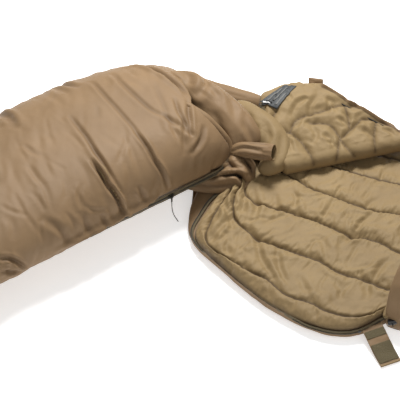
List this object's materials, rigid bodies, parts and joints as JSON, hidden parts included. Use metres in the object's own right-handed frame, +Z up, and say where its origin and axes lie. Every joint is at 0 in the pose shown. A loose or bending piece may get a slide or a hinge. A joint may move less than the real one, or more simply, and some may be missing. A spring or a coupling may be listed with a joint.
{
  "type": "mummy sleeping bag",
  "caption": "Quilted mummy sleeping bag lying open: closed leg tube, torso with the front panel turned back, open hood.",
  "frame": {"origin": "on the floor, under the side of the torso just past the waist", "axes": "+X from the foot end towards the head end, +Y away from the zipped side, +Z up"},
  "size_m": [1.968, 0.969, 0.2352],
  "materials": {
    "shell_fabric": "smooth polyester microfibre, coyote brown",
    "lining_fabric": "soft polyester taffeta, khaki",
    "fill": "hollow-fibre synthetic wadding",
    "zip_tape": "woven polyester tape, dark olive",
    "zip_coil": "nylon coil",
    "slider_metal": "dark enamelled die-cast zinc",
    "pull_cord": "braided grey cord",
    "black_cord": "braided black cord",
    "lock_plastic": "glossy black moulding",
    "hook_tape": "hook-and-loop tape, olive",
    "label": "dark grey printed satin label",
    "label_tie": "white woven tape"
  },
  "bodies": {
    "bag": {"back_fill": "fill", "back_lining": "lining_fabric", "back_shell": "shell_fabric", "draft_tube": "lining_fabric", "foot_cap_fill": "fill", "foot_cap_shell": "shell_fabric", "leg_back_fill": "fill", "leg_back_lining": "lining_fabric", "leg_back_shell": "shell_fabric", "leg_front_fill": "fill", "leg_front_lining": "lining_fabric", "leg_front_shell": "shell_fabric", "lock_cord": "black_cord", "waist_arch_fill": "fill", "waist_arch_shell": "shell_fabric", "waist_fold": "shell_fabric", "waist_gather": "shell_fabric", "zip_chain_back": "zip_coil", "zip_chain_leg": "zip_coil", "zip_tape_back": "zip_tape", "zip_tape_leg": "zip_tape", "zip_teeth_lip": "zip_coil", "zip_top_stop": "zip_coil"},
    "front_flap": {"flap_shell": "shell_fabric", "flap_fill": "fill", "flap_lining": "lining_fabric", "zip_tape_flap": "zip_tape", "zip_chain_flap": "zip_coil", "flap_neck_cord": "black_cord", "care_label": "label", "label_tie": "label_tie", "neck_tab_front": "shell_fabric", "neck_tab_back": "shell_fabric"},
    "hood": {"hood_wall_shell": "shell_fabric", "hood_wall_fill": "fill", "hood_wall_lining": "lining_fabric", "hood_floor_shell": "shell_fabric", "hood_floor_fill": "fill", "hood_floor_lining": "lining_fabric", "neck_collar": "lining_fabric", "hood_drawcord": "black_cord"},
    "slider": {"main_slider_body": "slider_metal"},
    "slider_pull": {"main_pull_tab": "slider_metal", "pull_cord": "pull_cord"},
    "tab": {"closure_tab": "shell_fabric", "tab_end_hem": "lining_fabric", "tab_hook_patch": "hook_tape", "tab_loop_strip": "hook_tape"},
    "cord_lock": {"cord_lock_body": "lock_plastic"},
    "lock_button": {"cord_lock_plunger": "lock_plastic"}
  },
  "joints": [
    {"name": "front_fold", "type": "hinge", "parent": "bag", "child": "front_flap", "pos_m": [0.135, 0.024, 0.079], "axis": [0.9603, 0.279, 0], "range_deg": [0, 150]},
    {"name": "hood_lift", "type": "hinge", "parent": "bag", "child": "hood", "pos_m": [0.664, -0.164, 0.0545], "axis": [-0.4848, -0.8746, 0], "range_deg": [0, 35]},
    {"name": "zip_run", "type": "slide", "parent": "bag", "child": "slider", "axis": [-0.8214, -0.5704, 0], "range_m": [0, 0.24]},
    {"name": "pull_swing", "type": "hinge", "parent": "slider", "child": "slider_pull", "pos_m": [-0.07573, -0.08978, 0.1], "axis": [-0.8214, -0.5704, 0], "range_deg": [0, 110]},
    {"name": "tab_fold", "type": "hinge", "parent": "bag", "child": "tab", "pos_m": [0.461, -0.506, 0.028], "axis": [-0.8949, -0.4462, 0], "range_deg": [0, 95]},
    {"name": "lock_slide", "type": "slide", "parent": "bag", "child": "cord_lock", "axis": [0.1392, -0.9903, 0], "range_m": [0, 0.008]},
    {"name": "lock_press", "type": "slide", "parent": "cord_lock", "child": "lock_button", "axis": [-0.9903, -0.1392, 0], "range_m": [0, 0.004], "stiffness_N_per_m": 300, "springref_m": -0.002}
  ]
}
